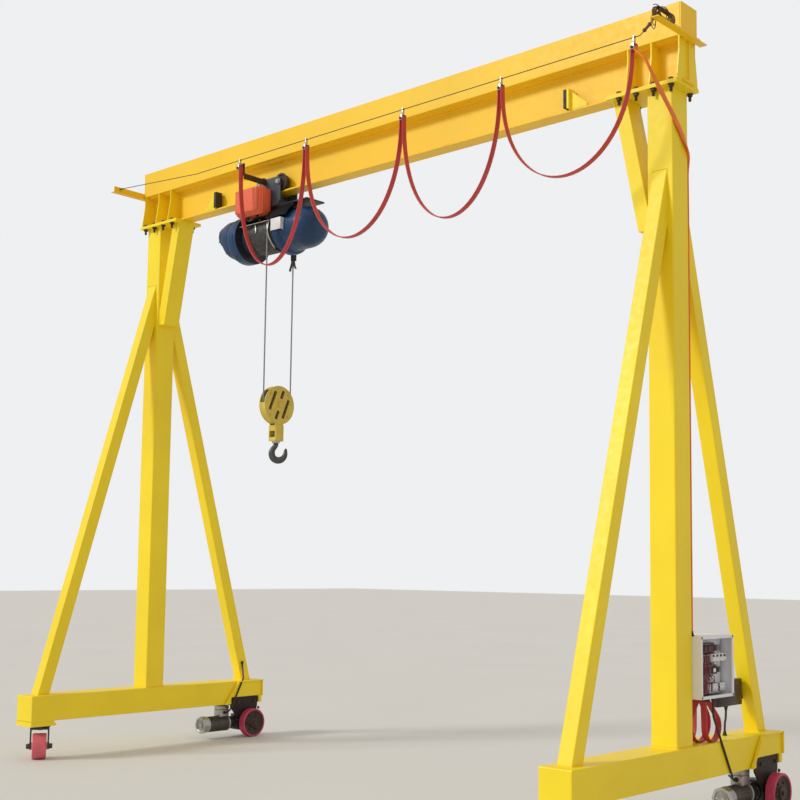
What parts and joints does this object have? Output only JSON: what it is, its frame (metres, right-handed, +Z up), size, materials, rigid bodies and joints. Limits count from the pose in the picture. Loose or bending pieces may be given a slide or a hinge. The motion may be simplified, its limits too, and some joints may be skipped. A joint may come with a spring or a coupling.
{
  "type": "gantry crane",
  "caption": "Wheeled A-frame gantry crane: welded box-and-I-beam girder, trolley with rope hoist and hook block, festoon cable, control box, two driven wheels and two swivel casters.",
  "frame": {"origin": "centre of the bounding box's bottom face, on the floor midway between the legs", "axes": "+X along the girder towards the leg with the control box, +Y along the base beams towards the driven wheels, +Z up"},
  "size_m": [5.546, 2.35, 5],
  "materials": {
    "yellow_paint": "gloss",
    "black_paint": "satin",
    "hoist_blue": "gloss",
    "dark_steel": "satin",
    "bare_steel": "brushed",
    "motor_alloy": "cast",
    "red_polyurethane": "satin",
    "wheel_brown": "satin",
    "black_rubber": "matte",
    "cable_red": "satin",
    "box_grey": "satin",
    "box_orange": "gloss",
    "contactor_dark": "matte",
    "receiver_black": "gloss",
    "lead_brown": "satin",
    "cast_hook": "forged"
  },
  "bodies": {
    "gantry": {"girder_box": "yellow_paint", "girder_end_plates": "yellow_paint", "girder_web": "yellow_paint", "girder_flanges": "yellow_paint", "saddle_plates": "yellow_paint", "saddle_ribs": "yellow_paint", "leg_plates": "yellow_paint", "columns": "yellow_paint", "knee_braces": "yellow_paint", "side_braces": "yellow_paint", "base_beams": "yellow_paint", "caster_seats": "yellow_paint", "caster_plates": "dark_steel", "drive_brackets": "black_paint", "drive_gearboxes": "dark_steel", "drive_motors": "motor_alloy", "end_stops": "yellow_paint", "buffers": "black_rubber", "wire_arms": "yellow_paint", "festoon_wire": "bare_steel", "wire_tensioner": "lead_brown", "spare_coil": "lead_brown", "end_clamp": "bare_steel", "festoon_cable": "cable_red", "cable_drop": "cable_red", "cable_bundle": "cable_red", "control_box": "box_grey", "contactors": "contactor_dark", "receiver_box": "receiver_black", "motor_leads": "lead_brown"},
    "trolley": {"trolley_plates": "dark_steel", "hoist_frame": "black_paint", "tow_arm": "black_paint", "trolley_box": "box_orange", "hoist_gearbox": "hoist_blue", "hoist_motor": "hoist_blue", "rope_anchor": "black_paint", "rope_guide": "bare_steel", "rope_falls": "bare_steel"},
    "trolley_wheel_1": {"trolley_wheel_1": "black_paint"},
    "trolley_wheel_2": {"trolley_wheel_2": "black_paint"},
    "trolley_wheel_3": {"trolley_wheel_3": "black_paint"},
    "trolley_wheel_4": {"trolley_wheel_4": "black_paint"},
    "drum": {"rope_drum": "dark_steel"},
    "hook_block": {"block_covers": "yellow_paint", "rope_bight": "bare_steel"},
    "sheave": {"block_sheave": "dark_steel"},
    "hook": {"hook": "cast_hook"},
    "clamp_3": {"cable_clamp_3": "bare_steel"},
    "clamp_2": {"cable_clamp_2": "bare_steel"},
    "clamp_1": {"cable_clamp_1": "bare_steel"},
    "tow_clamp": {"tow_clamp": "bare_steel"},
    "caster_fork_left": {"caster_fork_left": "dark_steel"},
    "caster_fork_right": {"caster_fork_right": "dark_steel"},
    "caster_wheel_left": {"caster_wheel_left": "red_polyurethane"},
    "caster_wheel_right": {"caster_wheel_right": "red_polyurethane"},
    "drive_wheel_left": {"drive_hub_left": "wheel_brown", "drive_tyre_left": "red_polyurethane"},
    "drive_wheel_right": {"drive_hub_right": "wheel_brown", "drive_tyre_right": "red_polyurethane"}
  },
  "joints": [
    {"name": "trolley_travel", "type": "slide", "parent": "gantry", "child": "trolley", "axis": [1, 0, 0], "range_m": [-0.49, 2.69], "deforming": ["festoon_cable"]},
    {"name": "trolley_wheel_1_spin", "type": "hinge", "parent": "trolley", "child": "trolley_wheel_1", "pos_m": [-1.155, 0, 4.587], "axis": [0, 1, 0], "continuous": true},
    {"name": "trolley_wheel_2_spin", "type": "hinge", "parent": "trolley", "child": "trolley_wheel_2", "pos_m": [-0.935, 0, 4.587], "axis": [0, 1, 0], "continuous": true},
    {"name": "trolley_wheel_3_spin", "type": "hinge", "parent": "trolley", "child": "trolley_wheel_3", "pos_m": [-1.155, 0, 4.587], "axis": [0, 1, 0], "continuous": true},
    {"name": "trolley_wheel_4_spin", "type": "hinge", "parent": "trolley", "child": "trolley_wheel_4", "pos_m": [-0.935, 0, 4.587], "axis": [0, 1, 0], "continuous": true},
    {"name": "hook_lift", "type": "slide", "parent": "trolley", "child": "hook_block", "axis": [0, 0, 1], "range_m": [-2.3, 0.9], "deforming": ["rope_falls"]},
    {"name": "drum_spin", "type": "hinge", "parent": "trolley", "child": "drum", "pos_m": [0, 0, 4.19], "axis": [1, 0, 0], "range_deg": [-1884, 741]},
    {"name": "sheave_spin", "type": "hinge", "parent": "hook_block", "child": "sheave", "pos_m": [-1, 0, 2.8], "axis": [1, 0, 0], "range_deg": [-945, 373]},
    {"name": "hook_swivel", "type": "hinge", "parent": "hook_block", "child": "hook", "pos_m": [-1, 0, 2.5], "axis": [0, 0, 1], "continuous": true},
    {"name": "clamp_3_slide", "type": "slide", "parent": "gantry", "child": "clamp_3", "axis": [1, 0, 0], "range_m": [-0.142, 0.7569]},
    {"name": "clamp_2_slide", "type": "slide", "parent": "clamp_3", "child": "clamp_2", "axis": [1, 0, 0], "range_m": [-0.1226, 0.6509]},
    {"name": "clamp_1_slide", "type": "slide", "parent": "clamp_2", "child": "clamp_1", "axis": [1, 0, 0], "range_m": [-0.1378, 0.734]},
    {"name": "tow_clamp_slide", "type": "slide", "parent": "clamp_1", "child": "tow_clamp", "axis": [1, 0, 0], "range_m": [-0.1076, 0.5683]},
    {"name": "caster_swivel_left", "type": "hinge", "parent": "gantry", "child": "caster_fork_left", "pos_m": [-2.564, -1.03, 0.2], "axis": [0, 0, 1], "continuous": true},
    {"name": "caster_spin_left", "type": "hinge", "parent": "caster_fork_left", "child": "caster_wheel_left", "pos_m": [-2.5233, -1.0554, 0.1], "axis": [0.5299, 0.848, 0], "continuous": true},
    {"name": "drive_spin_left", "type": "hinge", "parent": "gantry", "child": "drive_wheel_left", "pos_m": [-2.564, 1.026, 0.125], "axis": [1, 0, 0], "continuous": true},
    {"name": "caster_swivel_right", "type": "hinge", "parent": "gantry", "child": "caster_fork_right", "pos_m": [2.564, -1.03, 0.2], "axis": [0, 0, 1], "continuous": true},
    {"name": "caster_spin_right", "type": "hinge", "parent": "caster_fork_right", "child": "caster_wheel_right", "pos_m": [2.6047, -1.0554, 0.1], "axis": [0.5299, 0.848, 0], "continuous": true},
    {"name": "drive_spin_right", "type": "hinge", "parent": "gantry", "child": "drive_wheel_right", "pos_m": [2.564, 1.026, 0.125], "axis": [1, 0, 0], "continuous": true}
  ],
  "couplings": [
    {"joint": "drum_spin", "follows": "hook_lift", "rad_per_m": 14.255},
    {"joint": "sheave_spin", "follows": "hook_lift", "rad_per_m": 7.1276},
    {"joint": "clamp_3_slide", "follows": "trolley_travel", "ratio": 0.2795},
    {"joint": "clamp_2_slide", "follows": "trolley_travel", "ratio": 0.2401},
    {"joint": "clamp_1_slide", "follows": "trolley_travel", "ratio": 0.271},
    {"joint": "tow_clamp_slide", "follows": "trolley_travel", "ratio": 0.2094}
  ]
}
